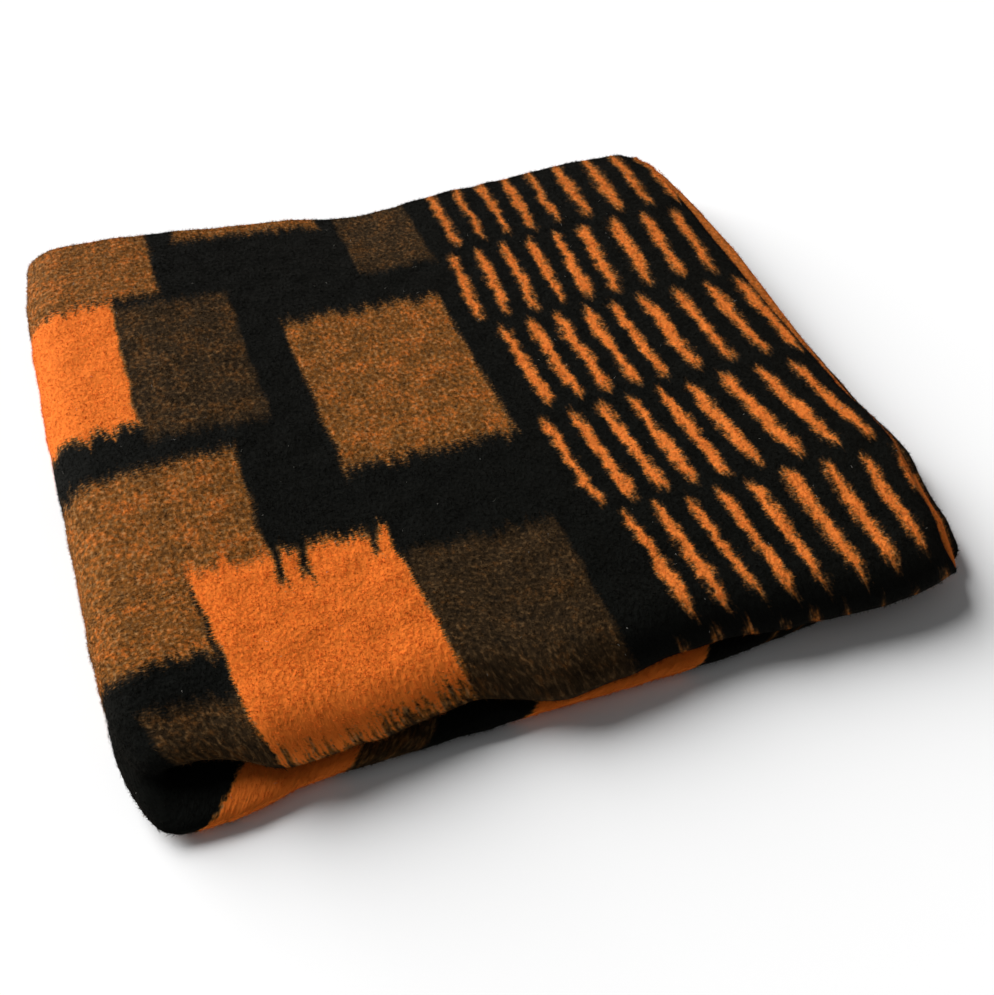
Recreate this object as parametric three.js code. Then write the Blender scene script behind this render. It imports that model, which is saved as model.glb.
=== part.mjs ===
// Folded wool blanket, one woven cloth. It is letter-folded in three into a strip with a round roll at
// the front, and the strip is folded in half, so that the last fold is at the left and the hems at the right.
// Millimetres, +Z up, +X from the last fold to the hems, +Y from the front roll to the back.
import * as THREE from 'three';

// Cloth and pack sizes
const CLOTH = 5; // thickness of the fulled wool with its raised nap
const PITCH = 7.6; // from the middle of one layer to the middle of the next
const WIDTH = 532; // from the last fold to the middle layer's hem
const DEPTH = 486; // from the front roll to the outer layer's hem at the back
const BACK_STEP = 12; // the inner back fold stays this far in front of the outer layer's hem
const ROLL_REACH = 16; // the front roll's nose reaches this far forward of the flat layers
const TUCK_CLEAR = 7; // from the front roll's start to the tucked layer's free hem

// Gap between the two halves of the strip, widest in the hollow of the last fold
const HOLLOW_GAP = 10;
const RESTING_GAP = 1.6;
const HOLLOW_REACH = 150; // how far from the last fold the halves take to come together

// A layer further out has more to go round the last fold, so its hems stop shorter: the upper hem's share
const UPPER_HEM_SHARE = 0.32;
const HEM_RUN = 32; // the end of the strip in which the layers' hems part

// How finely the shape is divided
const DEPTH_STEPS = 11;
const LOWER_STEPS = 9;
const TURN_STEPS = 10;
const UPPER_STEPS = 13;
const FRONT_STEPS = 10;
const BACK_STEPS = 6;

// Sizes that follow from those
const HALF_CLOTH = CLOTH / 2;
const HALF_STRIP = PITCH + HALF_CLOTH;
const TURN_RADIUS = HALF_STRIP + HOLLOW_GAP / 2;
const TURN_X = TURN_RADIUS + HALF_STRIP;
const FRONT_Y = ROLL_REACH + HALF_CLOTH;
const BACK_Y = DEPTH - BACK_STEP - PITCH / 2 - HALF_CLOTH;
const TUCK_Y = FRONT_Y + TUCK_CLEAR;
const FULL_HEIGHT = 4 * HALF_STRIP + HOLLOW_GAP;

// Soft swells (rise above 0) and troughs (below 0) of the top, as shares of the height there
const SWELLS = [
  { x: 0, y: 250, reachX: 60, reachY: 900, rise: -0.2 },
  { x: 490, y: 430, reachX: 90, reachY: 130, rise: 0.12 },
  { x: 480, y: 180, reachX: 90, reachY: 160, rise: 0.06 },
  { x: 255, y: 490, reachX: 60, reachY: 70, rise: -0.12 },
  { x: 570, y: 250, reachX: 60, reachY: 900, rise: -0.2 },
  { x: 280, y: 0, reachX: 900, reachY: 42, rise: -0.16 },
  { x: 570, y: 0, reachX: 70, reachY: 70, rise: 0.2 },
];

// How far each side of the pack strays from a straight line, along that side; inwards is above 0
const LEFT_EDGE = [
  { at: 0, inwards: 14 },
  { at: 40, inwards: 7 },
  { at: 130, inwards: 4 },
  { at: 320, inwards: 0 },
  { at: 420, inwards: 0 },
  { at: 490, inwards: 5 },
];
const RIGHT_EDGE = [
  { at: 0, inwards: 12 },
  { at: 45, inwards: 4 },
  { at: 115, inwards: -9 },
  { at: 170, inwards: -4 },
  { at: 260, inwards: -3 },
  { at: 420, inwards: -4 },
  { at: 490, inwards: -4 },
];
const BACK_EDGE = [
  { at: 0, inwards: 6 },
  { at: 90, inwards: 12 },
  { at: 190, inwards: 14 },
  { at: 265, inwards: 21 },
  { at: 350, inwards: 14 },
  { at: 460, inwards: 7 },
  { at: 540, inwards: 2 },
];
const UPPER_FRONT_EDGE = [
  { at: 0, inwards: 31 },
  { at: 35, inwards: 29 },
  { at: 85, inwards: 16 },
  { at: 140, inwards: 18 },
  { at: 195, inwards: 24 },
  { at: 250, inwards: 8 },
  { at: 345, inwards: 15 },
  { at: 400, inwards: 8 },
  { at: 470, inwards: 3 },
  { at: 540, inwards: 8 },
];
const LOWER_FRONT_EDGE = [
  { at: 0, inwards: 2 },
  { at: 40, inwards: 0 },
  { at: 110, inwards: 7 },
  { at: 180, inwards: 6 },
  { at: 330, inwards: 3 },
  { at: 540, inwards: 14 },
];
const EDGE_REACH = 150; // how far into the pack an edge's stray is felt

// The upper half sags towards its front roll, by this share of its height; the last fold holds it up
const FRONT_SAG = 0.32;
const SAG_REACH = 32;
const SAG_START = 110; // how far from the last fold the sag is full

// Directions in the strip's section, in radians
const OUTWARDS = Math.PI / 2;
const INWARDS = -Math.PI / 2;
const HALF_TURN = Math.PI;

const smooth = (t) => THREE.MathUtils.smoothstep(t, 0, 1);

// Share of a run at a step: the steps are closer together at both ends
const runShare = (t) => (t + (1 - Math.cos(Math.PI * t)) / 2) / 2;

// Depths where every layer has points, so that the layers' facets nest
const DEPTH_STATIONS = Array.from({ length: DEPTH_STEPS }, (_, k) => {
  return THREE.MathUtils.lerp(TUCK_Y, BACK_Y, runShare((k + 1) / (DEPTH_STEPS + 1)));
});

// A table's value at a place along its side, eased from row to row
function strayAt(table, place) {
  const last = table.length - 1;
  const next = table.findIndex((row) => row.at >= place);
  if (next === 0) return table[0].inwards;
  if (next < 0) return table[last].inwards;
  const from = table[next - 1];
  const to = table[next];
  const share = (place - from.at) / (to.at - from.at);
  return THREE.MathUtils.lerp(from.inwards, to.inwards, smooth(share));
}

// Middle line of the strip's section, from the tucked hem to the outer one: y is the depth in the pack,
// h the distance out from the strip's middle, and outY and outH point out of the cloth's right side
function sectionLine() {
  const line = [];
  const run = (from, to, h, outH) => {
    const stations = from < to ? DEPTH_STATIONS : DEPTH_STATIONS.toReversed();
    for (const y of [from, ...stations, to]) line.push({ y, h, outY: 0, outH });
  };
  const bend = (y, h, reach, rise, start, steps) => {
    for (let k = 1; k < steps; k += 1) {
      const cos = Math.cos(start - (HALF_TURN * k) / steps);
      const sin = Math.sin(start - (HALF_TURN * k) / steps);
      const size = Math.hypot(rise * cos, reach * sin);
      const outY = (rise * cos) / size;
      const outH = (reach * sin) / size;
      line.push({ y: y + reach * cos, h: h + rise * sin, outY, outH });
    }
  };
  run(TUCK_Y, BACK_Y, 0, 1);
  bend(BACK_Y, -PITCH / 2, PITCH / 2, PITCH / 2, OUTWARDS, BACK_STEPS);
  run(BACK_Y, FRONT_Y, -PITCH, -1);
  bend(FRONT_Y, 0, ROLL_REACH, PITCH, INWARDS, FRONT_STEPS);
  run(FRONT_Y, DEPTH, PITCH, 1);
  return line;
}

// Place of a run's step, counted from the last fold: the layers differ only past the last shared one
function runPlace(step, steps, hem) {
  if (step === steps) return hem;
  return THREE.MathUtils.lerp(TURN_X, WIDTH - HEM_RUN, runShare(step / (steps - 1)));
}

// The strip laid round the last fold, from the lower hem to the upper one
function layOnPath(step, h) {
  const extra = h * HALF_TURN;
  if (step <= LOWER_STEPS) {
    const hem = WIDTH - extra * (1 - UPPER_HEM_SHARE);
    return { x: runPlace(LOWER_STEPS - step, LOWER_STEPS, hem), z: HALF_STRIP - h };
  }
  if (step < LOWER_STEPS + TURN_STEPS) {
    const angle = (HALF_TURN * (step - LOWER_STEPS)) / TURN_STEPS;
    const radius = TURN_RADIUS + h;
    return { x: TURN_X - radius * Math.sin(angle), z: FULL_HEIGHT / 2 - radius * Math.cos(angle) };
  }
  const hem = WIDTH - extra * UPPER_HEM_SHARE;
  const x = runPlace(step - LOWER_STEPS - TURN_STEPS, UPPER_STEPS, hem);
  const gap = THREE.MathUtils.lerp(HOLLOW_GAP, RESTING_GAP, smooth((x - TURN_X) / HOLLOW_REACH));
  return { x, z: 3 * HALF_STRIP + gap + h };
}

// The pack's unevenness: heights change in proportion, so that the underside stays flat
function settle(point) {
  const { x, y } = point;
  let height = 1;
  for (const row of SWELLS) {
    height += row.rise * Math.exp(-(((x - row.x) / row.reachX) ** 2) - ((y - row.y) / row.reachY) ** 2);
  }
  const nearLeft = 1 - smooth(x / EDGE_REACH);
  const nearRight = 1 - smooth((WIDTH - x) / EDGE_REACH);
  const nearBack = 1 - smooth((DEPTH - y) / EDGE_REACH);
  point.x += nearLeft * strayAt(LEFT_EDGE, y) - nearRight * strayAt(RIGHT_EDGE, y);
  const nearFront = 1 - smooth(y / EDGE_REACH);
  const upper = smooth((point.z - HALF_STRIP) / (2 * HALF_STRIP));
  const front = THREE.MathUtils.lerp(strayAt(LOWER_FRONT_EDGE, x), strayAt(UPPER_FRONT_EDGE, x), upper);
  point.y += nearFront * front - nearBack * strayAt(BACK_EDGE, x);
  const sag = FRONT_SAG * smooth(x / SAG_START) * Math.exp(-((y / SAG_REACH) ** 2));
  point.z *= height * (1 - upper * sag);
  return point;
}

// The cloth as a flat slab, one unit a step each way, carried through the letter fold and the last fold
function blanketGeometry() {
  const line = sectionLine();
  const across = line.length - 1;
  const along = LOWER_STEPS + TURN_STEPS + UPPER_STEPS;
  const geometry = new THREE.BoxGeometry(across, CLOTH, along, across, 1, along);
  const position = geometry.getAttribute('position');
  const corner = new THREE.Vector3();
  for (let k = 0; k < position.count; k += 1) {
    corner.fromBufferAttribute(position, k);
    const { y, h, outY, outH } = line[Math.round(corner.x + across / 2)];
    const { x, z } = layOnPath(Math.round(corner.z + along / 2), h + outH * corner.y);
    settle(corner.set(x, y + outY * corner.y, z));
    position.setXYZ(k, corner.x, corner.y, corner.z);
  }
  geometry.computeBoundingBox();
  const middle = geometry.boundingBox.getCenter(new THREE.Vector3());
  geometry.translate(-middle.x, -middle.y, -geometry.boundingBox.min.z);
  geometry.computeVertexNormals();
  return geometry;
}

const wool = new THREE.MeshStandardMaterial({ color: '#4a2a14', roughness: 0.95, metalness: 0 });
const blanket = new THREE.Mesh(blanketGeometry(), wool);
blanket.name = 'blanket';

const pack = new THREE.Group();
pack.add(blanket);

export default pack;
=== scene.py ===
"""Looks of a folded wool blanket: one thick woven cloth with a patchwork pattern and a raised nap.

Metres, +Z up. The cloth is a flat grid carried through the letter fold and the last fold, and it is
dressed by its own flat places: u runs from the last fold towards the hems and v from the front to the back.
"""
import logging
import math
from dataclasses import dataclass
from enum import Enum
from typing import Any, Callable, NamedTuple

import bmesh
import bpy
import numpy as np
from mathutils import Matrix, Vector


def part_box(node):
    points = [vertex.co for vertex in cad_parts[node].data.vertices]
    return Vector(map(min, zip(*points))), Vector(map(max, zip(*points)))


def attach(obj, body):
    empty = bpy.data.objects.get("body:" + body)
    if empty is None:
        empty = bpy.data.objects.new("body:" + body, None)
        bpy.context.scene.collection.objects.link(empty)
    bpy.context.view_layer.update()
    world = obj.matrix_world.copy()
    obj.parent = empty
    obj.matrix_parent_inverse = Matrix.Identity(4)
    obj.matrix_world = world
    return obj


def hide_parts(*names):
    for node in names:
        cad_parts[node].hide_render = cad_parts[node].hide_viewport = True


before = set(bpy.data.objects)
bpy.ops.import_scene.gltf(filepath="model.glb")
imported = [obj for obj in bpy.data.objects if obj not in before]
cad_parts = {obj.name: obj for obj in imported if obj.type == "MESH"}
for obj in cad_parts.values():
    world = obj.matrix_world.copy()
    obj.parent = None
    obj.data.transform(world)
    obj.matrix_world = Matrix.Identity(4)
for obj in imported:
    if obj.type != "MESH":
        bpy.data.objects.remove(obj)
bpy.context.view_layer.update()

NODE = "blanket"
BODY = "root"

FLAT_MAP = "flat"
BAKE_MAP = "OFBake"
YARN_ATTRIBUTE = "yarn"
REVERSE_ATTRIBUTE = "reverse"
SAME_PLACE = 1e-9

log = logging.getLogger("blanket")
Values = np.ndarray
Place = tuple[float, float, float]
Colour = tuple[float, float, float]


class Stray(NamedTuple):
    """How far a side of the pack strays inwards at a place along it."""

    at: float
    inwards: float


class Swell(NamedTuple):
    """A soft swell (rise above 0) or trough (below 0) of the pack, as a share of its height there."""

    x: float
    y: float
    reach_x: float
    reach_y: float
    rise: float


SWELLS = (
    Swell(0.000, 0.250, 0.060, 0.900, -0.20),
    Swell(0.490, 0.430, 0.090, 0.130, 0.12),
    Swell(0.480, 0.180, 0.090, 0.160, 0.06),
    Swell(0.255, 0.490, 0.060, 0.070, -0.12),
    Swell(0.570, 0.250, 0.060, 0.900, -0.20),
    Swell(0.280, 0.000, 0.900, 0.042, -0.16),
    Swell(0.570, 0.000, 0.070, 0.070, 0.20),
)
LEFT_EDGE = (
    Stray(0.000, 0.014),
    Stray(0.040, 0.007),
    Stray(0.130, 0.004),
    Stray(0.320, 0.000),
    Stray(0.420, 0.000),
    Stray(0.490, 0.005),
)
RIGHT_EDGE = (
    Stray(0.000, 0.012),
    Stray(0.045, 0.004),
    Stray(0.115, -0.009),
    Stray(0.170, -0.004),
    Stray(0.260, -0.003),
    Stray(0.420, -0.004),
    Stray(0.490, -0.004),
)
BACK_EDGE = (
    Stray(0.000, 0.006),
    Stray(0.090, 0.012),
    Stray(0.190, 0.014),
    Stray(0.265, 0.021),
    Stray(0.350, 0.014),
    Stray(0.460, 0.007),
    Stray(0.540, 0.002),
)
UPPER_FRONT_EDGE = (
    Stray(0.000, 0.031),
    Stray(0.035, 0.029),
    Stray(0.085, 0.016),
    Stray(0.140, 0.018),
    Stray(0.195, 0.024),
    Stray(0.250, 0.008),
    Stray(0.345, 0.015),
    Stray(0.400, 0.008),
    Stray(0.470, 0.003),
    Stray(0.540, 0.008),
)
LOWER_FRONT_EDGE = (
    Stray(0.000, 0.002),
    Stray(0.040, 0.000),
    Stray(0.110, 0.007),
    Stray(0.180, 0.006),
    Stray(0.330, 0.003),
    Stray(0.540, 0.014),
)


class Crease(NamedTuple):
    """A soft ridge (height above 0) or trough (below 0) along a line on the flat cloth."""

    start_u: float
    start_v: float
    end_u: float
    end_v: float
    reach: float
    height: float


CREASES = (
    Crease(0.085, 0.012, 0.500, 0.010, 0.026, 0.0120),
)


def smooth(share: Values) -> Values:
    """Ease a share from 0 to 1, level at both ends."""
    t = np.clip(share, 0.0, 1.0)
    return t * t * (3.0 - 2.0 * t)


def stray_at(table: tuple[Stray, ...], place: Values) -> Values:
    """Read a side's table at places along it, eased from row to row.

    Args:
        table: The side's rows in order.
        place: Places along the side.

    Returns:
        How far inwards the side strays at each place.
    """
    value = np.full(np.shape(place), table[0].inwards)
    for low, high in zip(table, table[1:]):
        value = value + (high.inwards - low.inwards) * smooth((place - low.at) / (high.at - low.at))
    return value


@dataclass(frozen=True)
class Fold:
    """The way the cloth is folded: in three into a strip, and the strip in half."""

    cloth: float = 0.005
    pitch: float = 0.0076
    width: float = 0.532
    depth: float = 0.486
    back_step: float = 0.012
    roll_reach: float = 0.016
    tuck_clear: float = 0.007
    hollow_gap: float = 0.010
    resting_gap: float = 0.0016
    hollow_reach: float = 0.150
    upper_hem_share: float = 0.32
    edge_reach: float = 0.150
    front_sag: float = 0.32
    sag_reach: float = 0.032
    sag_start: float = 0.110
    roll_points: int = 91

    @property
    def half_cloth(self) -> float:
        """Half the cloth's thickness."""
        return self.cloth / 2

    @property
    def half_strip(self) -> float:
        """Half the thickness of the three-layer strip."""
        return self.pitch + self.half_cloth

    @property
    def turn_radius(self) -> float:
        """Radius of the strip's middle at the last fold."""
        return self.half_strip + self.hollow_gap / 2

    @property
    def turn_x(self) -> float:
        """Where the last fold's bend starts."""
        return self.turn_radius + self.half_strip

    @property
    def front_y(self) -> float:
        """Where the front roll's nose starts."""
        return self.roll_reach + self.half_cloth

    @property
    def back_y(self) -> float:
        """Axis of the inner fold at the back."""
        return self.depth - self.back_step - self.pitch / 2 - self.half_cloth

    def roll_steps(self) -> tuple[Values, Values]:
        """Angles round the front roll from its top, and the cloth's length up to each.

        Returns:
            The angles and the lengths.
        """
        angles = np.linspace(0.0, math.pi, self.roll_points)
        line = np.stack([self.roll_reach * np.sin(angles), self.pitch * np.cos(angles)])
        lengths = np.linalg.norm(np.diff(line, axis=1), axis=0)
        return angles, np.concatenate([[0.0], np.cumsum(lengths)])

    @property
    def roll_end(self) -> float:
        """Flat place v where the front roll ends and the lower layer starts."""
        return self.front_y - float(self.roll_steps()[1][-1])

    @property
    def back_start(self) -> float:
        """Flat place v where the inner fold at the back starts."""
        return self.roll_end - (self.back_y - self.front_y)

    @property
    def tuck_start(self) -> float:
        """Flat place v where the tucked layer starts."""
        return self.back_start - math.pi * self.pitch / 2

    @property
    def tucked_hem(self) -> float:
        """Flat place v of the tucked layer's free hem."""
        return self.tuck_start - (self.back_y - self.front_y - self.tuck_clear)

    @property
    def upper_hem(self) -> float:
        """Flat place u of the upper hem."""
        return self.width - self.pitch * math.pi * self.upper_hem_share

    @property
    def turn_end(self) -> float:
        """Flat place u where the last fold's bend ends and the lower half starts."""
        return self.turn_x - math.pi * (self.turn_radius + self.pitch)

    @property
    def lower_hem(self) -> float:
        """Flat place u of the lower hem."""
        lower = self.width - self.pitch * math.pi * (1 - self.upper_hem_share)
        return self.turn_end + self.turn_x - lower

    @property
    def flat_size(self) -> tuple[float, float]:
        """Width and length that the cloth was cut to."""
        return self.upper_hem - self.lower_hem, self.depth - self.tucked_hem

    def section(self, v: Values) -> tuple[Values, Values, Values, Values]:
        """Lay flat places on the strip's section.

        Args:
            v: Flat places from the tucked hem to the outer one.

        Returns:
            Depth in the pack, distance out from the strip's middle, and the two parts of the way out.
        """
        half = self.pitch / 2
        angles, lengths = self.roll_steps()
        roll = np.interp(self.front_y - v, lengths, angles)
        nose_y = -self.pitch * np.sin(roll)
        nose_h = self.roll_reach * np.cos(roll)
        nose = np.hypot(nose_y, nose_h)
        back = -math.pi / 2 + (self.back_start - v) / half
        places = [v >= self.front_y, v >= self.roll_end, v >= self.back_start, v >= self.tuck_start]
        zero = np.zeros_like(v)
        y = np.select(
            places,
            [
                v,
                self.front_y - self.roll_reach * np.sin(roll),
                self.front_y + self.roll_end - v,
                self.back_y + half * np.cos(back),
            ],
            self.back_y - (self.tuck_start - v),
        )
        h = np.select(
            places,
            [zero + self.pitch, self.pitch * np.cos(roll), zero - self.pitch, half * (np.sin(back) - 1)],
            zero,
        )
        out_y = np.select(places, [zero, nose_y / nose, zero, np.cos(back)], zero)
        out_h = np.select(places, [zero + 1, nose_h / nose, zero - 1, np.sin(back)], zero + 1)
        return y, h, out_y, out_h

    def path(self, u: Values, h: Values, out: Values) -> tuple[Values, Values]:
        """Lay the strip round the last fold.

        Args:
            u: Flat places from the lower hem to the upper one.
            h: Distance of the layer out from the strip's middle.
            out: Distance of the surface out from the layer's middle.

        Returns:
            Distance from the last fold, and height.
        """
        x0 = u - (h - self.pitch) * math.pi * self.upper_hem_share
        radius = self.turn_radius + h
        behind = self.turn_x - x0
        angle = np.clip(behind / radius, 0.0, math.pi)
        low_run = np.maximum(behind - math.pi * radius, 0.0)
        full_height = 4 * self.half_strip + self.hollow_gap
        closed = smooth((x0 - self.turn_x) / self.hollow_reach)
        gap = self.hollow_gap + (self.resting_gap - self.hollow_gap) * closed
        upper = x0 >= self.turn_x
        x = np.where(upper, x0, self.turn_x - (radius + out) * np.sin(angle) + low_run)
        turned_z = full_height / 2 + (radius + out) * np.cos(angle)
        return x, np.where(upper, 3 * self.half_strip + gap + h + out, turned_z)

    def settle(self, x: Values, y: Values, z: Values) -> Values:
        """Give the pack its unevenness; heights change in proportion, so the underside stays flat.

        Args:
            x: Distances from the last fold.
            y: Depths from the front.
            z: Heights.

        Returns:
            The uneven points.
        """
        height = np.ones_like(x)
        for row in SWELLS:
            away = ((x - row.x) / row.reach_x) ** 2 + ((y - row.y) / row.reach_y) ** 2
            height = height + row.rise * np.exp(-away)
        near_left = 1 - smooth(x / self.edge_reach)
        near_right = 1 - smooth((self.width - x) / self.edge_reach)
        near_back = 1 - smooth((self.depth - y) / self.edge_reach)
        near_front = 1 - smooth(y / self.edge_reach)
        upper = smooth((z - self.half_strip) / (2 * self.half_strip))
        lower_front = stray_at(LOWER_FRONT_EDGE, x)
        front = lower_front + (stray_at(UPPER_FRONT_EDGE, x) - lower_front) * upper
        new_x = x + near_left * stray_at(LEFT_EDGE, y) - near_right * stray_at(RIGHT_EDGE, y)
        new_y = y + near_front * front - near_back * stray_at(BACK_EDGE, x)
        sag = self.front_sag * smooth(x / self.sag_start) * np.exp(-((y / self.sag_reach) ** 2))
        return np.stack([new_x, new_y, z * height * (1 - upper * sag)], axis=-1)

    def place(self, u: Values, v: Values, out: Values) -> Values:
        """Carry flat places to the folded pack.

        Args:
            u: Flat places across, from the last fold.
            v: Flat places along, from the front.
            out: Distance out from the cloth's middle, above 0 on its right side.

        Returns:
            Points of the pack, before it is moved to its place.
        """
        y, h, out_y, out_h = self.section(v)
        x, z = self.path(u, h, out_h * out)
        return self.settle(x, y + out_y * out, z)


@dataclass(frozen=True)
class ChanceField:
    """Soft hills and hollows over the flat cloth, a few waves of chance directions."""

    longest: float
    shortest: float
    height: float
    seed: int
    waves: int = 24

    def at(self, u: Values, v: Values) -> Values:
        """The field's value at flat places.

        Args:
            u: Flat places across.
            v: Flat places along.

        Returns:
            The values, either side of 0.
        """
        chance = np.random.default_rng(self.seed)
        total = np.zeros_like(u)
        for _ in range(self.waves):
            length = self.shortest * (self.longest / self.shortest) ** chance.random()
            turn = chance.random() * math.tau
            start = chance.random() * math.tau
            along = (u * math.cos(turn) + v * math.sin(turn)) * math.tau / length
            total = total + np.sin(along + start) * length / self.longest
        return total * self.height


def operator(operation: str, swapped: bool = False) -> Callable[["Wire", "Wire | float"], "Wire"]:
    """Make the method of one of a wire's operators.

    Args:
        operation: Blender's name of the operation.
        swapped: True for a reflected form, in which the wire comes second.

    Returns:
        The method.
    """

    def method(wire: "Wire", other: "Wire | float") -> "Wire":
        """Add the operator's Math node."""
        return wire.math(operation, other, wire) if swapped else wire.math(operation, wire, other)

    return method


class Wire:
    """A node's output that takes part in Python expressions, each adding a Math node."""

    def __init__(self, graph: "Graph", socket: bpy.types.NodeSocket) -> None:
        """Keep the socket and the graph that it is in.

        Args:
            graph: The nodes that the socket belongs to.
            socket: A node's output.
        """
        self.graph = graph
        self.socket = socket

    def math(self, operation: str, *values: "Wire | float", clamp: bool = False) -> "Wire":
        """Add a Math node.

        Args:
            operation: Blender's name of the operation.
            values: The operation's values in order.
            clamp: Whether the result is kept between 0 and 1.

        Returns:
            The node's result.
        """
        settings = {"operation": operation, "use_clamp": clamp}
        node = self.graph.add("ShaderNodeMath", settings, dict(enumerate(values)))
        return Wire(self.graph, node.outputs[0])

    __add__ = operator("ADD")
    __radd__ = operator("ADD", swapped=True)
    __sub__ = operator("SUBTRACT")
    __rsub__ = operator("SUBTRACT", swapped=True)
    __mul__ = operator("MULTIPLY")
    __rmul__ = operator("MULTIPLY", swapped=True)
    __truediv__ = operator("DIVIDE")
    __rtruediv__ = operator("DIVIDE", swapped=True)
    __pow__ = operator("POWER")
    __rpow__ = operator("POWER", swapped=True)
    least = operator("MINIMUM")
    most = operator("MAXIMUM")

    def __abs__(self) -> "Wire":
        """Size without its sign."""
        return self.math("ABSOLUTE", self)

    def held(self) -> "Wire":
        """The value kept between 0 and 1."""
        return self.math("ADD", self, 0.0, clamp=True)


class Graph:
    """A material's nodes."""

    def __init__(self, name: str) -> None:
        """Start a material with no nodes.

        Args:
            name: The material's name.
        """
        self.material = bpy.data.materials.new(name)
        self.material.use_nodes = True
        self.nodes = self.material.node_tree.nodes
        self.links = self.material.node_tree.links
        self.nodes.clear()

    def add(self, kind: str, settings: dict[str, Any], inputs: dict[Any, Any]) -> bpy.types.Node:
        """Add any node.

        Args:
            kind: Blender's name of the node's type.
            settings: The node's own settings, and a ramp's stops under "stops".
            inputs: A value or a Wire for each socket, by its name or number.

        Returns:
            The new node.
        """
        node = self.nodes.new(kind)
        for name, value in settings.items():
            if name == "stops":
                self.set_stops(node.color_ramp, value)
            else:
                setattr(node, name, value)
        for key, value in inputs.items():
            if isinstance(value, Wire):
                self.links.new(value.socket, node.inputs[key])
            else:
                node.inputs[key].default_value = value
        return node

    @staticmethod
    def set_stops(ramp: bpy.types.ColorRamp, stops: list[tuple[float, Colour]]) -> None:
        """Give a ramp its stops in order.

        Args:
            ramp: The ramp.
            stops: Places from 0 to 1 and their colours.
        """
        while len(ramp.elements) < len(stops):
            ramp.elements.new(1.0)
        for element, (place, colour) in zip(ramp.elements, stops):
            element.position = place
            element.color = (*colour, 1.0)

    def wire(self, node: bpy.types.Node, output: str | int = 0) -> Wire:
        """Take one of a node's outputs."""
        return Wire(self, node.outputs[output])

    def attribute(self, name: str) -> Wire:
        """Read one of the mesh's own values."""
        return self.wire(self.add("ShaderNodeAttribute", {"attribute_name": name}, {}), "Fac")

    def noise(self, u: Wire, v: Wire, size_u: float, size_v: float, detail: float = 0.0) -> Wire:
        """Soft noise from 0 to 1 over the flat cloth.

        Args:
            u: Flat places across.
            v: Flat places along.
            size_u: Size of a lump across.
            size_v: Size of a lump along.
            detail: How many finer layers there are.

        Returns:
            The noise.
        """
        at = self.add("ShaderNodeCombineXYZ", {}, {0: u / size_u, 1: v / size_v})
        sockets = {"Vector": self.wire(at), "Scale": 1.0, "Detail": detail}
        return self.wire(self.add("ShaderNodeTexNoise", {"noise_dimensions": "2D"}, sockets), "Fac")

    def sway(self, u: Wire, v: Wire, size_u: float, size_v: float, detail: float = 0.0) -> Wire:
        """Soft noise as noise() gives it, but either side of 0."""
        return self.noise(u, v, size_u, size_v, detail) - 0.5

    def mix(self, share: Wire | float, low: Any, high: Any, blend: str = "MIX") -> Wire:
        """Mix two colours.

        Args:
            share: How much of the second colour there is.
            low: The first colour.
            high: The second colour.
            blend: Blender's name of the way they mix.

        Returns:
            The mixed colour.
        """
        settings = {"data_type": "RGBA", "blend_type": blend}
        node = self.add("ShaderNodeMix", settings, {0: share, 6: low, 7: high})
        return self.wire(node, 2)

    def surfaced(self, shader: dict[str, Any]) -> bpy.types.Material:
        """Finish the material with a surface of these values.

        Args:
            shader: A value or a Wire for each of the surface's sockets.

        Returns:
            The material.
        """
        principled = self.add("ShaderNodeBsdfPrincipled", {}, shader)
        self.add("ShaderNodeOutputMaterial", {}, {"Surface": self.wire(principled)})
        return self.material


class Yarn(Enum):
    """Share of orange wool that is spun into a block's yarn."""

    BLACK = 0.0
    DEEP = 0.24
    DARK = 0.28
    TAN = 0.60
    ORANGE = 1.0


class Block(NamedTuple):
    """A woven rectangle on the flat cloth; lean is how far it shifts across for each metre along."""

    left: float
    right: float
    front: float
    back: float
    yarn: Yarn
    lean: float = 0.0

    @property
    def middle(self) -> float:
        """Middle of the block along the cloth."""
        return (self.front + self.back) / 2


class DashRow(NamedTuple):
    """A row of dashes: its number from the front, its first dash's place, its dashes' lean and their yarn,
    lowered in the back rows as painted shade.
    """

    number: int
    first: float
    lean: float
    yarn: float


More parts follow.
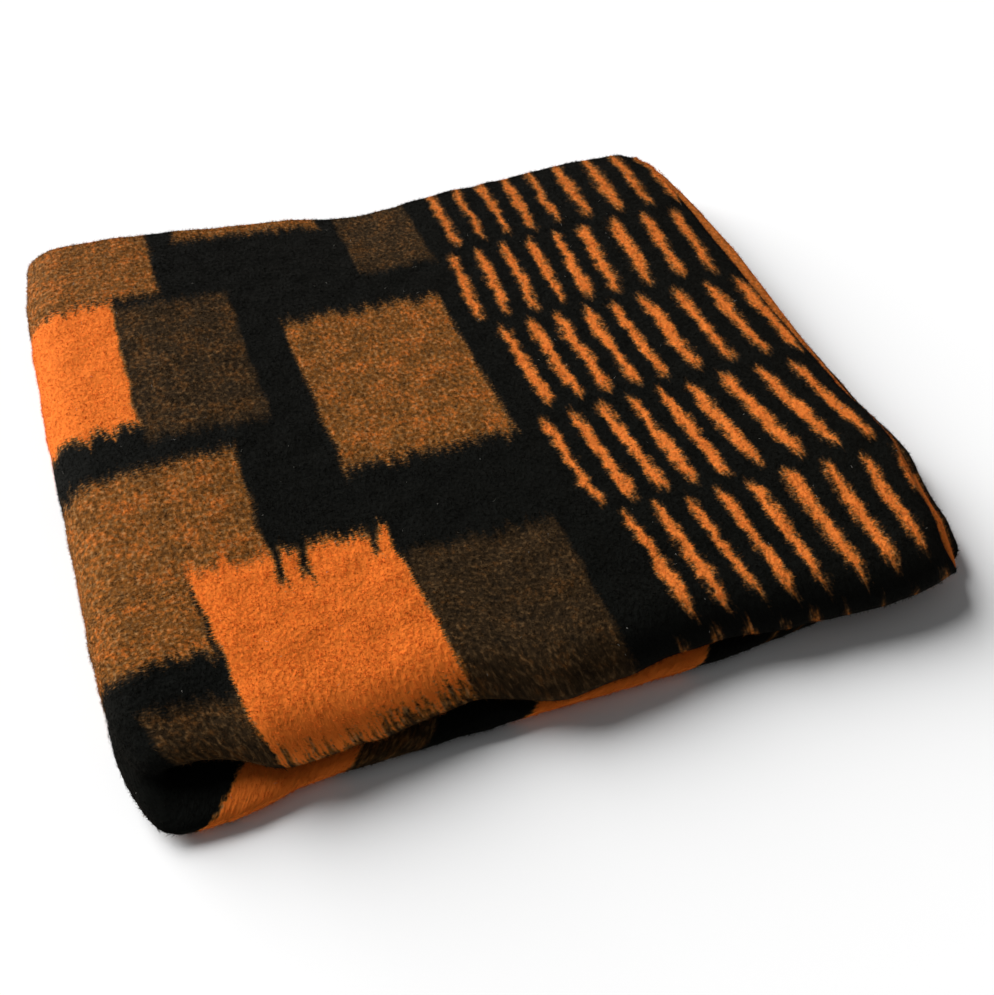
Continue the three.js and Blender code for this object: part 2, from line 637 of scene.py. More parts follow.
# Blocks that show on the upper half, then those on the front roll, then those of the lower half
BLOCKS = (
    Block(-0.070, 0.094, 0.402, 0.520, Yarn.TAN),
    Block(-0.070, 0.060, 0.267, 0.402, Yarn.ORANGE),
    Block(0.060, 0.140, 0.252, 0.390, Yarn.DARK),
    Block(0.113, 0.227, 0.472, 0.520, Yarn.TAN),
    Block(0.240, 0.300, 0.392, 0.520, Yarn.DARK),
    Block(0.171, 0.289, 0.190, 0.342, Yarn.TAN, -0.02),
    Block(-0.070, 0.111, 0.125, 0.226, Yarn.TAN),
    Block(-0.070, 0.064, 0.066, 0.130, Yarn.TAN, -0.06),
    Block(0.017, 0.074, -0.040, 0.030, Yarn.DARK),
    Block(0.190, 0.286, -0.040, 0.109, Yarn.DEEP, -0.03),
    Block(0.069, 0.189, -0.004, 0.136, Yarn.ORANGE, -0.09),
    Block(0.113, 0.117, 0.110, 0.160, Yarn.BLACK),
    Block(0.128, 0.132, 0.112, 0.160, Yarn.BLACK),
    Block(0.172, 0.176, 0.118, 0.160, Yarn.BLACK),
    # These two dark brown blocks under the orange block's front are mostly painted shade, darkening the roll
    # where it turns under into the slot
    Block(0.074, 0.196, -0.040, -0.004, Yarn.DEEP),
    Block(0.138, 0.197, -0.040, 0.001, Yarn.DEEP),
    Block(-0.124, -0.064, -0.060, 0.130, Yarn.ORANGE),
    Block(-0.130, -0.060, -0.060, 0.008, Yarn.ORANGE, 0.95),
    Block(-0.168, -0.124, -0.060, 0.090, Yarn.DARK),
    Block(-0.340, -0.230, -0.060, 0.150, Yarn.ORANGE),
    Block(-0.240, -0.130, 0.190, 0.330, Yarn.TAN),
    Block(-0.345, -0.250, 0.240, 0.400, Yarn.DARK),
    Block(-0.150, -0.070, 0.390, 0.520, Yarn.DARK),
    Block(-0.250, -0.165, 0.400, 0.520, Yarn.ORANGE),
)
# Rows 3 and 4 have yarn shares of 0.88 and 0.80: painted shade, the dashes darkening towards the back right
# where the light falls off
DASH_ROWS = (
    DashRow(-1, 0.318, 0.00, 0.92),
    DashRow(0, 0.330, -0.08, 1.00),
    DashRow(1, 0.3135, -0.07, 1.00),
    DashRow(2, 0.321, -0.02, 0.96),
    DashRow(3, 0.3115, 0.06, 0.88),
    DashRow(4, 0.325, 0.02, 0.80),
)


@dataclass(frozen=True)
class Pattern:
    """The woven pattern: plain blocks and rows of dashes, with edges feathered along the cloth."""

    mirror_v: float = -0.060
    mirror_length: float = 0.546
    tooth_width: float = 0.0060
    tooth_length: float = 0.040
    tooth_reach: float = 0.011
    tooth_patch: float = 0.035
    fringe_width: float = 0.0018
    fringe_length: float = 0.008
    fringe_reach: float = 0.007
    fuzz_width: float = 0.0027
    fuzz_length: float = 0.0012
    fuzz_reach: float = 0.0060
    fuzz_detail: float = 2.0
    wobble_width: float = 0.0100
    wobble_length: float = 0.0250
    wobble_reach: float = 0.0050
    edge_softness: float = 0.0017
    end_softness: float = 3.4
    dash_mirror: float = -0.070
    dash_stretch_from: float = 0.420
    dash_stretch: float = 0.80
    dash_pitch: float = 0.022
    dash_half_width: float = 0.0037
    dash_half_length: float = 0.047
    dash_softness: float = 0.0026
    dash_taper: float = 4.0
    dash_fade: float = 0.55
    dash_fade_power: float = 3.0
    least_length: float = 0.95
    length_chance: float = 0.08
    least_width: float = 0.88
    width_chance: float = 0.24
    dash_ripple_size: float = 0.0075
    dash_ripple: float = 0.0045
    row_middle: float = 0.054
    row_pitch: float = 0.098
    hem_band: float = 0.5080
    hem_band_behind: float = -0.080
    hem_band_yarn: float = 0.72

    def share(self, graph: Graph, u: Wire, v: Wire) -> Wire:
        """Share of orange yarn over the flat cloth.

        Args:
            graph: The material's nodes.
            u: Flat places across.
            v: Flat places along.

        Returns:
            The share, from 0 to 1.
        """
        tooth = graph.sway(u, v, self.tooth_width, self.tooth_length)
        fringe = graph.sway(u, v, self.fringe_width, self.fringe_length)
        unlike = graph.noise(u, v, self.tooth_patch, self.tooth_patch)
        wobble = graph.sway(u, v, self.wobble_width, self.wobble_length)
        fuzz = graph.sway(u, v, self.fuzz_width, self.fuzz_length, self.fuzz_detail) * self.fuzz_reach
        mirrored = u.math("PINGPONG", v - self.mirror_v, self.mirror_length) + self.mirror_v
        fringed = mirrored + fringe * self.fringe_reach
        toothed = fringed + tooth * unlike * (2.0 * self.tooth_reach)
        across = u + wobble * self.wobble_reach
        ripple = graph.sway(u, v, self.dash_ripple_size, self.dash_ripple_size)
        total = self.dashes(graph, across + ripple * self.dash_ripple, fringed, fuzz)
        for block in BLOCKS:
            leaning = across - (mirrored - block.middle) * block.lean if block.lean else across
            mask = self.block(leaning, toothed, fuzz, block)
            total = total + mask * (block.yarn.value - total)
        band = self.inside((u - self.hem_band).least(self.hem_band_behind - v), self.edge_softness)
        return total + band * (self.hem_band_yarn - total)

    @staticmethod
    def inside(depth: Wire, softness: float) -> Wire:
        """Turn a depth inside an edge into a soft mask."""
        return depth.math("MULTIPLY_ADD", depth, 0.5 / softness, 0.5, clamp=True)

    def block(self, across: Wire, along: Wire, fuzz: Wire, block: Block) -> Wire:
        """Mask of one block.

        Args:
            across: Flat places across, with their wobble and lean.
            along: Flat places along, with their teeth.
            fuzz: Chance depth of an edge.
            block: The block.

        Returns:
            The mask, 1 inside.
        """
        centre = (block.left + block.right) / 2
        side = (block.right - block.left) / 2 - abs(across - centre)
        end = ((block.back - block.front) / 2 - abs(along - block.middle)) / self.end_softness
        return self.inside(side.least(end) + fuzz, self.edge_softness)

    def dashes(self, graph: Graph, across: Wire, along: Wire, fuzz: Wire) -> Wire:
        """Share of orange yarn in the field of dashes, lowered in the back rows as painted shade.

        Args:
            graph: The material's nodes.
            across: Flat places across, with their wobble.
            along: Flat places along, with their fringe.
            fuzz: Chance depth of an edge.

        Returns:
            The share, 0 outside the field.
        """
        out = across.most(self.dash_mirror - across)
        row = out.math("ROUND", (along - self.row_middle) / self.row_pitch)
        from_middle = along - self.row_middle - row * self.row_pitch
        first, lean, yarn = 0.0, 0.0, 0.0
        for dash_row in DASH_ROWS:
            here = row.math("COMPARE", row, float(dash_row.number), 0.5)
            first = here * dash_row.first + first
            lean = here * dash_row.lean + lean
            yarn = here * dash_row.yarn + yarn
        near = out.least(self.dash_stretch_from)
        far = (out - self.dash_stretch_from).most(0.0)
        place = near + far * self.dash_stretch - first - from_middle * lean
        column = place.math("ROUND", place / self.dash_pitch)
        off_axis = abs(place - column * self.dash_pitch)
        at = graph.add("ShaderNodeCombineXYZ", {}, {0: column, 1: row})
        sockets = {"Vector": graph.wire(at)}
        white = graph.add("ShaderNodeTexWhiteNoise", {"noise_dimensions": "2D"}, sockets)
        chance = graph.wire(white, "Value")
        reach = from_middle / (self.dash_half_length * (self.least_length + self.length_chance * chance))
        half_width = (self.least_width + self.width_chance * chance) * self.dash_half_width
        spindle = half_width * (1.0 - (reach * reach) ** self.dash_taper)
        started = place + self.dash_pitch / 2
        # The row's yarn carries the painted shade of the back rows; the fade towards the dash's ends is the
        # weave's own brown tips
        faded = yarn * (1.0 - self.dash_fade * (reach * reach) ** self.dash_fade_power)
        return self.inside((spindle - off_axis).least(started) + fuzz, self.dash_softness) * faded


@dataclass(frozen=True)
class WoolFinish:
    """Fulled wool with a raised nap, dyed black and orange."""

    black: Colour = (0.0031, 0.0037, 0.0032)
    dark: Colour = (0.0300, 0.0168, 0.0070)
    tan: Colour = (0.186, 0.0665, 0.0115)
    orange: Colour = (0.740, 0.165, 0.021)
    dash_orange: Colour = (0.740, 0.195, 0.033)
    dash_field: float = 0.300
    beige: Colour = (0.38, 0.215, 0.088)
    lint: Colour = (0.42, 0.40, 0.36)
    lint_share: float = 0.0012
    grain_size: float = 0.0029
    grain_stretch: float = 1.2
    grain_detail: float = 4.0
    grain_gain: float = 0.40
    grain_light: float = 1.5
    hair_gain: float = 0.30
    hair_light: float = 0.45
    fleck_size: float = 0.0027
    fleck_gain: float = 4.5
    fleck_share: float = 0.75
    fleck_detail: float = 3.0
    fleck_offset: float = 1.0
    patch_size: float = 0.016
    patch_swing: float = 0.36
    patch_detail: float = 2.0
    pile_size: float = 0.0034
    # Painted shade of the pile's lumps, in step with the bump
    pile_shade_swing: float = 0.26
    pile_stretch: float = 1.3
    pile_detail: float = 2.0
    darkest: float = 0.1
    roughness: float = 0.92
    roughness_swing: float = 0.12
    shine: float = 0.04
    sheen: float = 0.02
    sheen_roughness: float = 0.6
    bump_strength: float = 0.55
    bump_height: float = 0.0014
    bump_grain: float = 0.6
    pattern: Pattern = Pattern()

    def material(self, name: str, napped: bool) -> bpy.types.Material:
        """Make the finish for the cloth or for its nap.

        Args:
            name: The material's name.
            napped: True for nap, whose hairs each have a yarn of their own.

        Returns:
            The material.
        """
        graph = Graph(name)
        flat = graph.add("ShaderNodeUVMap", {"uv_map": FLAT_MAP}, {})
        parts = graph.add("ShaderNodeSeparateXYZ", {}, {0: graph.wire(flat)})
        u = graph.wire(parts, 0)
        v = graph.wire(parts, 1)
        reverse = graph.attribute(REVERSE_ATTRIBUTE)
        right_share = self.pattern.share(graph, u, v)
        share = right_share + reverse * (1.0 - 2.0 * right_share)
        pile = graph.noise(u, v, self.pile_size, self.pile_size * self.pile_stretch, self.pile_detail)
        patchy = graph.sway(u, v, self.patch_size, self.patch_size, self.patch_detail) * self.patch_swing
        grain = graph.noise(u, v, self.grain_size, self.grain_size * self.grain_stretch, self.grain_detail)
        stray = (grain - 0.5) * self.grain_gain + patchy
        fleck = graph.sway(u + self.fleck_offset, v, self.fleck_size, self.fleck_size, self.fleck_detail)
        pale = fleck * self.fleck_gain
        light = (grain - 0.5) * self.grain_light
        if napped:
            tone = graph.attribute(YARN_ATTRIBUTE)
            stray = stray + (tone - 0.5) * self.hair_gain
            light = light + (tone - 0.5) * self.hair_light
            pale = pale + (tone - 0.5)
        dashed = ((u - self.dash_field) / self.grain_size).held() * share
        colour = self.dyed(graph, share, stray, light, pale, pile, dashed)
        if napped:
            linty = tone.math("GREATER_THAN", tone, 1.0 - self.lint_share)
            colour = graph.mix(linty, colour, (*self.lint, 1.0))
        shader = {
            "Base Color": colour,
            "Roughness": (self.roughness + (pile - 0.5) * self.roughness_swing).held(),
            "Specular IOR Level": self.shine,
            "Sheen Weight": self.sheen,
            "Sheen Roughness": self.sheen_roughness,
            "Sheen Tint": (*self.beige, 1.0),
        }
        if not napped:
            lumps = pile + grain * self.bump_grain
            sockets = {"Strength": self.bump_strength, "Distance": self.bump_height, "Height": lumps}
            shader["Normal"] = graph.wire(graph.add("ShaderNodeBump", {}, sockets))
        return graph.surfaced(shader)

    def dyed(
        self,
        graph: Graph,
        share: Wire,
        stray: Wire,
        light: Wire,
        pale: Wire,
        pile: Wire,
        dashed: Wire,
    ) -> Wire:
        """Colour of the yarn.

        Args:
            graph: The material's nodes.
            share: Share of orange yarn.
            stray: How far mixed yarn strays from its share, either side of 0.
            light: How much lighter mixed yarn is, either side of 0.
            pale: How beige mixed yarn is, from 0 to 1.
            pile: Lumps of the nap from 0 to 1; they also paint shade, lighter on the lumps and darker between
                them.
            dashed: Share of the dashes' paler orange.

        Returns:
            The colour.
        """
        mixed = share * (1.0 - share) * 4.0
        shown = (share + stray * mixed).held()
        stops = [
            (Yarn.BLACK.value, self.black),
            (Yarn.DARK.value, self.dark),
            (Yarn.TAN.value, self.tan),
            (Yarn.ORANGE.value, self.orange),
        ]
        ramp = graph.add("ShaderNodeValToRGB", {"stops": stops}, {0: shown})
        beige_share = mixed * pale.held() * shown * self.fleck_share
        paled = graph.mix(beige_share, graph.wire(ramp), (*self.beige, 1.0))
        paled = graph.mix(dashed * dashed * dashed, paled, (*self.dash_orange, 1.0))
        # Painted shade of the pile's lumps, times the mixed yarn's own lighter and darker fibres
        tone_and_pile_shade = (1.0 + (pile - 0.5) * self.pile_shade_swing + light * mixed).most(self.darkest)
        shade = graph.add("ShaderNodeCombineColor", {}, {0: tone_and_pile_shade, 1: tone_and_pile_shade, 2: tone_and_pile_shade})
        return graph.mix(1.0, paled, graph.wire(shade), "MULTIPLY")


def add_map(mesh: bpy.types.Mesh, name: str, places: Values) -> None:
    """Add a map with one place for each corner of the mesh's faces."""
    mesh.uv_layers.new(name=name, do_init=False).data.foreach_set("uv", places.astype(np.float32).ravel())


def add_values(mesh: bpy.types.Mesh, name: str, values: Values) -> None:
    """Add a value for each vertex of the mesh."""
    mesh.attributes.new(name, "FLOAT", "POINT").data.foreach_set("value", values.astype(np.float32))


def make_object(name: str, mesh: bpy.types.Mesh, material: bpy.types.Material) -> bpy.types.Object:
    """Give a mesh its material and put it in the scene.

    Args:
        name: The object's name.
        mesh: The finished mesh.
        material: The mesh's one material.

    Returns:
        The object.
    """
    mesh.materials.append(material)
    mesh.update()
    piece = bpy.data.objects.new(name, mesh)
    bpy.context.scene.collection.objects.link(piece)
    return piece


@dataclass(frozen=True)
class BakeSheet:
    """The cloth's bake map: its right side below, its reverse above and its four hems between them."""

    margin: float = 0.004
    turn: float = 0.36
    roll: float = 0.11
    right_back: float = 0.68
    reverse_front: float = 0.73
    hem_front: float = 0.686
    hem_pitch: float = 0.010
    hem_width: float = 0.006


@dataclass
class FoldedCloth:
    """The blanket's one cloth, a closed slab on the fold."""

    fold: Fold
    unevenness: ChanceField = ChanceField(longest=0.060, shortest=0.014, height=0.00018, seed=7)
    bake: BakeSheet = BakeSheet()
    outer_step: float = 0.005
    lower_step: float = 0.008
    turn_step: float = 0.0032
    roll_step: float = 0.0025
    hidden_step: float = 0.011
    back_bend_step: float = 0.0015
    tucked_step: float = 0.014
    bend_margin: float = 0.020
    roll_margin: float = 0.010
    hem_rim: float = 0.35
    hem_round: float = 0.0028
    rim_shares: tuple[float, ...] = (0.12, 0.4, 1.0)
    corner_reach: float = 0.030
    corner_inset: float = 0.008
    slip: float = 0.010
    slip_depth: float = 0.340
    slip_reach: float = 0.120
    slip_run: float = 0.100
    crease_forward: float = 0.5
    shift: Place = (0.0, 0.0, 0.0)

    def stations(self, places: list[float], steps: list[float]) -> Values:
        """Flat places of the grid's lines, even in each stretch and close together at both hems.

        Args:
            places: Ends of the stretches in order.
            steps: The wanted step in each stretch.

        Returns:
            The places in order.
        """
        lines = []
        for low, high, step in zip(places, places[1:], steps):
            lines.extend(np.linspace(low, high, max(2, round((high - low) / step)), endpoint=False))
        rim = self.hem_round * np.array(self.rim_shares)
        ends = [places[0] + rim, places[-1] - rim]
        return np.unique(np.concatenate([*ends, lines, [places[-1]]]))

    def across(self) -> Values:
        """Lines from the lower hem to the upper one.

        Returns:
            The lines' flat places u.
        """
        fold = self.fold
        margin = self.bend_margin
        places = [fold.lower_hem, fold.turn_end - margin, fold.turn_x + margin, fold.upper_hem]
        return self.stations(places, [self.lower_step, self.turn_step, self.outer_step])

    def along(self) -> Values:
        """Lines from the tucked hem to the outer one.

        Returns:
            The lines' flat places v.
        """
        fold = self.fold
        places = [
            fold.tucked_hem,
            fold.tuck_start,
            fold.back_start,
            fold.roll_end - self.bend_margin,
            fold.front_y + self.roll_margin,
            fold.depth,
        ]
        folded_in = [self.tucked_step, self.back_bend_step, self.hidden_step]
        return self.stations(places, [*folded_in, self.roll_step, self.outer_step])

    def half_thickness(self, u: Values, v: Values) -> Values:
        """Half the cloth's thickness, rounded off towards its hems.

        Args:
            u: Flat places across.
            v: Flat places along.

        Returns:
            The half thickness at each place.
        """
        fold = self.fold
        inside_u = np.minimum(u - fold.lower_hem, fold.upper_hem - u)
        inside_v = np.minimum(v - fold.tucked_hem, fold.depth - v)
        share = np.clip(np.minimum(inside_u, inside_v) / self.hem_round, 0.0, 1.0)
        return fold.half_cloth * (self.hem_rim + (1 - self.hem_rim) * np.sqrt(1 - (1 - share) ** 2))

    def round_corners(self, u: Values, v: Values) -> tuple[Values, Values]:
        """Draw flat places in towards the middle near the cloth's four corners.

        Args:
            u: Flat places across.
            v: Flat places along.

        Returns:
            The places with the corners rounded.
        """
        fold = self.fold
        near_u = smooth(1 - np.minimum(u - fold.lower_hem, fold.upper_hem - u) / self.corner_reach)
        near_v = smooth(1 - np.minimum(v - fold.tucked_hem, fold.depth - v) / self.corner_reach)
        inset = self.corner_inset * near_u * near_v
        middle_u = (fold.lower_hem + fold.upper_hem) / 2
        middle_v = (fold.tucked_hem + fold.depth) / 2
        return u + inset * np.sign(middle_u - u), v + inset * np.sign(middle_v - v)

    def slipped(self, u: Values, v: Values) -> Values:
        """Flat places across, with the tucked layer's upper hem slipped out from under the top one.

        Args:
            u: Flat places across.
            v: Flat places along.

        Returns:
            The slipped places across.
        """
        fold = self.fold
        depth = fold.back_y - (fold.tuck_start - v)
        near_hem = smooth((u - fold.upper_hem + self.slip_run) / self.slip_run)
        out = self.slip * np.exp(-(((depth - self.slip_depth) / self.slip_reach) ** 2))
        return u + np.where(v < fold.tuck_start, out * near_hem, 0.0)

    @staticmethod
    def creases(u: Values, v: Values) -> Values:
        """How far the creases lift the cloth at flat places.

        Args:
            u: Flat places across.
            v: Flat places along.

        Returns:
            The lift at each place.
        """
        lift = np.zeros_like(u)
        for row in CREASES:
            run_u = row.end_u - row.start_u
            run_v = row.end_v - row.start_v
            share = ((u - row.start_u) * run_u + (v - row.start_v) * run_v) / (run_u**2 + run_v**2)
            share = np.clip(share, 0.0, 1.0)
            away = np.hypot(u - row.start_u - share * run_u, v - row.start_v - share * run_v)
            lift = lift + row.height * np.exp(-((away / row.reach) ** 2))
        return lift

    def surface(self, u: Values, v: Values, right: Values) -> Values:
        """Points of the cloth's two sides, in the object's frame.

        Args:
            u: Flat places across.
            v: Flat places along.
            right: 1 for the right side, 0 for the reverse.

        Returns:
            The points.
        """
        fold = self.fold
        out = (2 * right - 1) * self.half_thickness(u, v) + self.unevenness.at(u, v) * right
        round_u, round_v = self.round_corners(u, v)
        points = fold.place(self.slipped(round_u, round_v), round_v, out) + self.shift
        _, _, out_y, out_h = fold.section(round_v)
        lift = self.creases(u, v)
        points[..., 1] += lift * out_y * self.crease_forward
        points[..., 2] += lift * np.maximum(out_h, 0.0)
        points[..., 2] = np.maximum(points[..., 2], 0.0)
        return points

    def build(self, material: bpy.types.Material) -> bpy.types.Object:
        """Make the cloth's object.

        Args:
            material: The wool of the cloth.

        Returns:
            The object.
        """
        us = self.across()
        vs = self.along()
        slab = bmesh.new()
        bmesh.ops.create_grid(slab, x_segments=len(us) - 1, y_segments=len(vs) - 1, size=1.0)
        raised = bmesh.ops.extrude_face_region(slab, geom=slab.faces[:], use_keep_orig=True)
        top = [item for item in raised["geom"] if isinstance(item, bmesh.types.BMVert)]
        bmesh.ops.translate(slab, vec=(0.0, 0.0, 1.0), verts=top)
        bmesh.ops.recalc_face_normals(slab, faces=slab.faces[:])
        mesh = bpy.data.meshes.new(NODE)
        slab.to_mesh(mesh)
        slab.free()
        grid = np.empty(3 * len(mesh.vertices))
        mesh.vertices.foreach_get("co", grid)
        grid = grid.reshape(-1, 3)
        u = us[np.rint((grid[:, 0] + 1) / 2 * (len(us) - 1)).astype(int)]
        v = vs[np.rint((grid[:, 1] + 1) / 2 * (len(vs) - 1)).astype(int)]
        right = np.rint(grid[:, 2])
        low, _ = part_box(NODE)
        start = self.fold.place(u, v, (2 * right - 1) * self.fold.half_cloth).min(axis=0)
        self.shift = (low[0] - start[0], low[1] - start[1], 0.0)
        mesh.vertices.foreach_set("co", self.surface(u, v, right).ravel())
        self.map_cloth(mesh, u, v, right)
        add_values(mesh, REVERSE_ATTRIBUTE, 1 - right)
        mesh.shade_smooth()
        return make_object("woven_cloth", mesh, material)

    def map_cloth(self, mesh: bpy.types.Mesh, u: Values, v: Values, right: Values) -> None:
        """Give the mesh its flat places as a map, and a map for baking.

        Args:
            mesh: The cloth's mesh.
            u: Each vertex's place across.
            v: Each vertex's place along.
            right: 1 for vertices of the right side.
        """
        fold = self.fold
        sheet = self.bake
        near = sheet.margin
        far = 1 - sheet.margin
        corners = np.empty(len(mesh.loops), dtype=np.int32)
        mesh.loops.foreach_get("vertex_index", corners)
        add_map(mesh, FLAT_MAP, np.stack([u, v], axis=1)[corners])
        ahead = np.interp(u, [fold.lower_hem, fold.turn_end, fold.upper_hem], [near, sheet.turn, far])
        up = np.interp(v, [fold.tucked_hem, fold.roll_end, fold.depth], [near, sheet.roll, sheet.right_back])
        reverse_up = np.interp(v, [fold.tucked_hem, fold.depth], [sheet.reverse_front, far])
        baked = np.stack([ahead, np.where(right > 0.5, up, reverse_up)], axis=1)[corners]
        quads = np.arange(len(corners)).reshape(-1, 4)
        sides = right[corners[quads]]
        walls = sides.min(axis=1) != sides.max(axis=1)
        hems = [(u, fold.lower_hem), (u, fold.upper_hem), (v, fold.tucked_hem), (v, fold.depth)]
        for number, (place, hem) in enumerate(hems):
            on_hem = walls & (np.abs(place[corners[quads]] - hem).max(axis=1) < SAME_PLACE)
            loops = quads[on_hem].ravel()
            run = v if place is u else u
            along = (run - run.min()) / np.ptp(run)
            level = sheet.hem_front + sheet.hem_pitch * number + sheet.hem_width * right
            baked[loops] = np.stack([near + (far - near) * along, level], axis=1)[corners[loops]]
        add_map(mesh, BAKE_MAP, baked)


class Patch(NamedTuple):
    """A stretch of the cloth that carries nap, in flat places; face is 1 on the right side, else 0."""

    left: float
    right: float
    front: float
    back: float
    face: float = 1.0


# A hair is three feet and a tip: its faces, and its corners' places in its cell of the bake map
HAIR_FACES = ((0, 1, 3), (1, 2, 3), (2, 0, 3), (2, 1, 0))
HAIR_CELL = ((0.10, 0.12), (0.90, 0.12), (0.50, 0.88), (0.50, 0.40))
HAIR_POINTS = len(HAIR_CELL)


@dataclass
class Nap:
    """Short raised hairs in swirling tufts, joined into one mesh of thin closed spikes."""

    name: str
    patches: list[Patch]
    seed: int
    rows: int = 210
    shortest: float = 0.0014
    longest: float = 0.0032
    half_width: float = 0.00013
    probe: float = 0.0004
    least_lean: float = 10.0
    lean_chance: float = 40.0
    turn_chance: float = 0.9
    tufts: ChanceField = ChanceField(longest=0.011, shortest=0.005, height=1.3, seed=5)

    @property
    def hairs(self) -> int:
        """How many hairs there are."""
        return self.rows * self.rows

    def roots(self, chance: np.random.Generator) -> tuple[Values, Values, Values]:
        """Chance roots, spread over the patches by their area and in order across, then along.

        Args:
            chance: Where the chance numbers come from.

        Returns:
            Flat places across and along, and the faces of the cloth.
        """
        areas = np.array([(p.right - p.left) * (p.back - p.front) for p in self.patches])
        pick = chance.choice(len(areas), self.hairs, p=areas / areas.sum())
        table = np.array(self.patches)[pick]
        u = table[:, 0] + chance.random(self.hairs) * (table[:, 1] - table[:, 0])
        v = table[:, 2] + chance.random(self.hairs) * (table[:, 3] - table[:, 2])
        by_row = np.argsort(u).reshape(self.rows, self.rows)
        order = np.take_along_axis(by_row, np.argsort(v[by_row], axis=1), axis=1).ravel()
        return u[order], v[order], table[order, 4]

    def build(self, cloth: FoldedCloth, material: bpy.types.Material) -> bpy.types.Object:
        """Make the nap's object.

        Args:
            cloth: The cloth that the hairs grow on.
            material: The wool of the hairs.

        Returns:
            The object.
        """
        chance = np.random.default_rng(self.seed)
        u, v, face = self.roots(chance)
        step = self.probe
        foot = cloth.surface(u, v, face)
        side = unit(cloth.surface(u + step, v, face) - cloth.surface(u - step, v, face))
        ahead = unit(cloth.surface(u, v + step, face) - cloth.surface(u, v - step, face))
        out = unit(np.cross(side, ahead)) * (2 * face - 1)[:, None]
        lean = np.radians(self.least_lean + self.lean_chance * chance.random(self.hairs))[:, None]
        turn = (self.tufts.at(u, v) + self.turn_chance * chance.standard_normal(self.hairs))[:, None]
        level = side * np.cos(turn) + ahead * np.sin(turn)
        grow = out * np.sin(lean) + level * np.cos(lean)
        length = (self.shortest + (self.longest - self.shortest) * chance.random(self.hairs))[:, None]
        cross = unit(np.cross(grow, out))
        other = np.cross(grow, cross)
        foot = foot - out * self.half_width
        thirds = np.arange(3) * math.tau / 3
        feet = [foot + self.half_width * (math.cos(k) * cross + math.sin(k) * other) for k in thirds]
        points = np.stack([*feet, foot + grow * length], axis=1)
        points[..., 2] = np.maximum(points[..., 2], [0.0, 0.0, 0.0, self.half_width])
        corners = (np.arange(self.hairs)[:, None, None] * HAIR_POINTS + np.array(HAIR_FACES)).reshape(-1, 3)
        mesh = bpy.data.meshes.new(self.name)
        mesh.from_pydata(points.reshape(-1, 3).tolist(), [], corners.tolist())
        hair = corners.ravel() // HAIR_POINTS
        add_map(mesh, FLAT_MAP, np.stack([u, v], axis=1)[hair])
        add_map(mesh, BAKE_MAP, self.cells(hair, corners.ravel() % HAIR_POINTS))
        add_values(mesh, YARN_ATTRIBUTE, np.repeat(chance.random(self.hairs), HAIR_POINTS))
        add_values(mesh, REVERSE_ATTRIBUTE, np.repeat(1 - face, HAIR_POINTS))
        mesh.shade_smooth()
        return make_object(self.name, mesh, material)

    def cells(self, hair: Values, corner: Values) -> Values:
        """Places on the bake map, on which each hair has a small cell with its tip in the middle.

        Args:
            hair: Each face corner's hair, by number.
            corner: Each face corner's point of the hair; the last is the tip.

        Returns:
            The places.
        """
        cell = np.stack([hair % self.rows, hair // self.rows], axis=1)
        return (cell + np.array(HAIR_CELL)[corner]) / self.rows


def unit(ways: Values) -> Values:
    """Ways of length 1."""
    return ways / np.linalg.norm(ways, axis=1, keepdims=True)


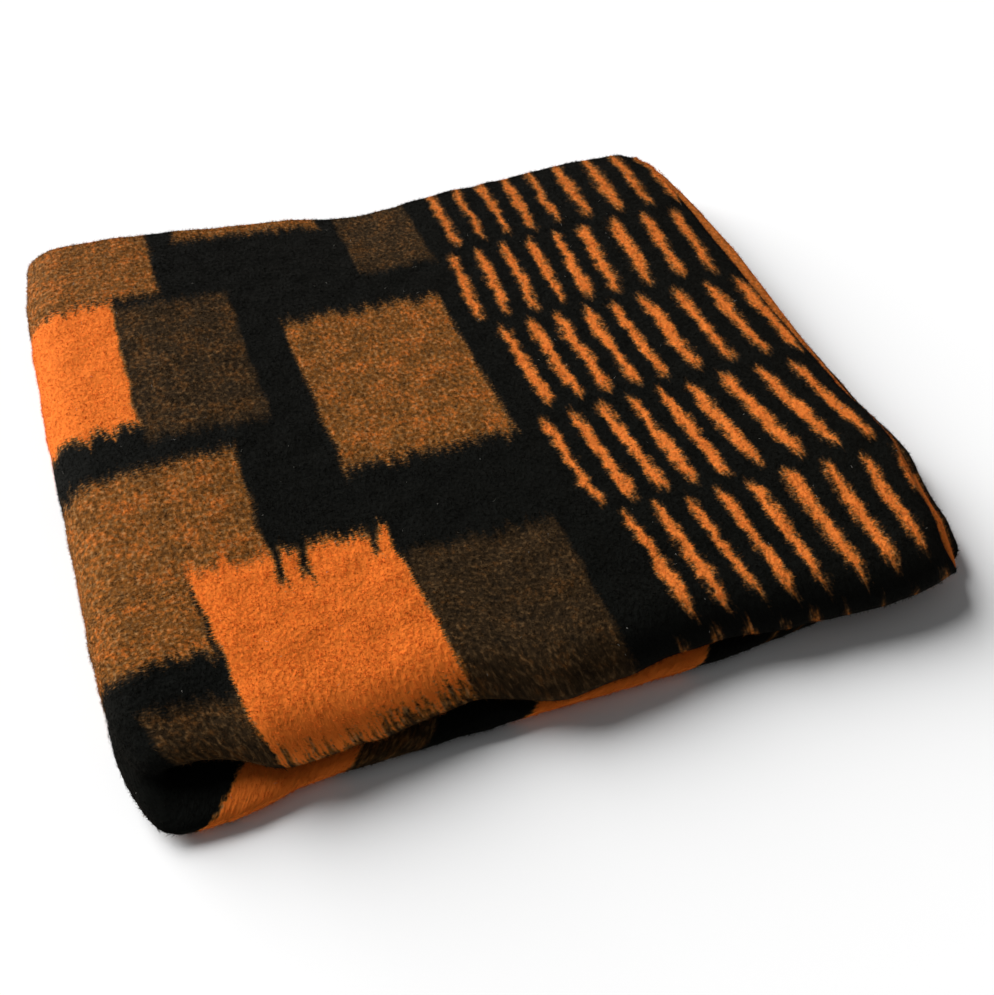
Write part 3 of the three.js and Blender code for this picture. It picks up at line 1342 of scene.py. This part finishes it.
@dataclass(frozen=True)
class Studio:
    """Pale floor, soft light and the camera."""

    azimuth: float = -25.0
    elevation: float = 48.0
    roll: float = 5.0
    aim_height: float = 0.020
    aside: float = -0.01561
    up: float = 0.06483
    distance: float = 0.75754
    lens: float = 38.97
    sensor: float = 36.0
    floor_size: float = 30.0
    floor_colour: Colour = (0.96, 0.96, 0.96)
    floor_roughness: float = 0.9
    floor_shine: float = 0.1
    sky: float = 0.12
    key_power: float = 6.4
    key_spread: float = 50.0
    key_place: Place = (-0.470, 0.680, 0.430)

    def build_camera(self) -> None:
        """Set the camera at the photograph's angle."""
        a = math.radians(self.azimuth)
        e = math.radians(self.elevation)
        turn = math.radians(self.roll)
        back = Vector((math.sin(a) * math.cos(e), -math.cos(a) * math.cos(e), math.sin(e)))
        level = Vector((math.cos(a), math.sin(a), 0.0))
        raised = back.cross(level)
        right = math.cos(turn) * level + math.sin(turn) * raised
        upward = math.cos(turn) * raised - math.sin(turn) * level
        aim = Vector((0.0, 0.0, self.aim_height))
        place = aim - right * self.aside - upward * self.up + back * self.distance
        data = bpy.data.cameras.new("camera")
        data.lens = self.lens
        data.sensor_width = self.sensor
        data.sensor_fit = "HORIZONTAL"
        camera = bpy.data.objects.new("camera", data)
        axes = Matrix((right, upward, back)).transposed().to_4x4()
        camera.matrix_world = Matrix.Translation(place) @ axes
        bpy.context.scene.collection.objects.link(camera)
        bpy.context.scene.camera = camera

    def build_floor(self) -> None:
        """Lay a plain pale floor."""
        sheet = bmesh.new()
        bmesh.ops.create_grid(sheet, x_segments=1, y_segments=1, size=self.floor_size / 2)
        mesh = bpy.data.meshes.new("floor")
        sheet.to_mesh(mesh)
        sheet.free()
        graph = Graph("floor")
        shader = {
            "Base Color": (*self.floor_colour, 1.0),
            "Roughness": self.floor_roughness,
            "Specular IOR Level": self.floor_shine,
        }
        make_object("floor", mesh, graph.surfaced(shader))

    def build_light(self) -> None:
        """Light the scene softly from the back left."""
        scene = bpy.context.scene
        scene.view_settings.view_transform = "Standard"
        world = bpy.data.worlds.new("sky")
        world.use_nodes = True
        sky = world.node_tree.nodes["Background"]
        sky.inputs["Color"].default_value = (1.0, 1.0, 1.0, 1.0)
        sky.inputs["Strength"].default_value = self.sky
        scene.world = world
        data = bpy.data.lights.new("key", "SUN")
        data.energy = self.key_power
        data.angle = math.radians(self.key_spread)
        key = bpy.data.objects.new("key", data)
        place = Vector(self.key_place)
        key.matrix_world = Matrix.Translation(place) @ place.to_track_quat("Z", "Y").to_matrix().to_4x4()
        scene.collection.objects.link(key)


# Nap of the top's three strips with their seeds, then the width and the rows of the hems' nap
TOP_NAPS = {"nap_of_blocks": 11, "nap_of_middle": 12, "nap_of_dashes": 13}
HEM_NAP = 0.004
HEM_NAP_ROWS = 170


def nap_pieces(fold: Fold) -> list[Nap]:
    """The nap of the parts that show, in pieces.

    Args:
        fold: The way the cloth is folded.

    Returns:
        The nap of three strips of the top, then that of the folds and rolls, then that of the hems.
    """
    cuts = np.linspace(fold.turn_x, fold.upper_hem, len(TOP_NAPS) + 1)
    pieces = []
    for (name, seed), left, right in zip(TOP_NAPS.items(), cuts, cuts[1:]):
        pieces.append(Nap(name, [Patch(left, right, fold.front_y, fold.depth)], seed))
    edges = [
        Patch(fold.turn_end, fold.turn_x, fold.front_y, fold.depth),
        Patch(fold.lower_hem, fold.upper_hem, fold.roll_end, fold.front_y),
        Patch(fold.lower_hem, fold.upper_hem, fold.tuck_start, fold.back_start),
    ]
    pieces.append(Nap("nap_of_folds", edges, seed=21))
    lower_edge = fold.lower_hem + HEM_NAP
    upper_edge = fold.upper_hem - HEM_NAP
    hems = []
    for face in (1.0, 0.0):
        hems.append(Patch(fold.lower_hem, lower_edge, fold.tucked_hem, fold.depth, face))
        hems.append(Patch(upper_edge, fold.upper_hem, fold.tucked_hem, fold.depth, face))
        hems.append(Patch(fold.lower_hem, fold.upper_hem, fold.depth - HEM_NAP, fold.depth, face))
    pieces.append(Nap("nap_of_hems", hems, seed=31, rows=HEM_NAP_ROWS))
    return pieces


def main() -> None:
    """Build the blanket and its studio."""
    logging.basicConfig(level=logging.INFO, format="%(message)s")
    studio = Studio()
    studio.build_camera()
    studio.build_floor()
    studio.build_light()
    finish = WoolFinish()
    fold = Fold()
    cloth = FoldedCloth(fold)
    blanket = cloth.build(finish.material("wool_cloth", napped=False))
    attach(blanket, BODY)
    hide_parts(NODE)
    log.info("%s: %d faces", blanket.name, len(blanket.data.polygons))
    log.info("flat size %.3f by %.3f m", *fold.flat_size)
    hair = finish.material("wool_nap", napped=True)
    for nap in nap_pieces(fold):
        piece = nap.build(cloth, hair)
        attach(piece, BODY)
        log.info("%s: %d hairs", piece.name, nap.hairs)
    fold.flat_size


if __name__ == "__main__":
    main()
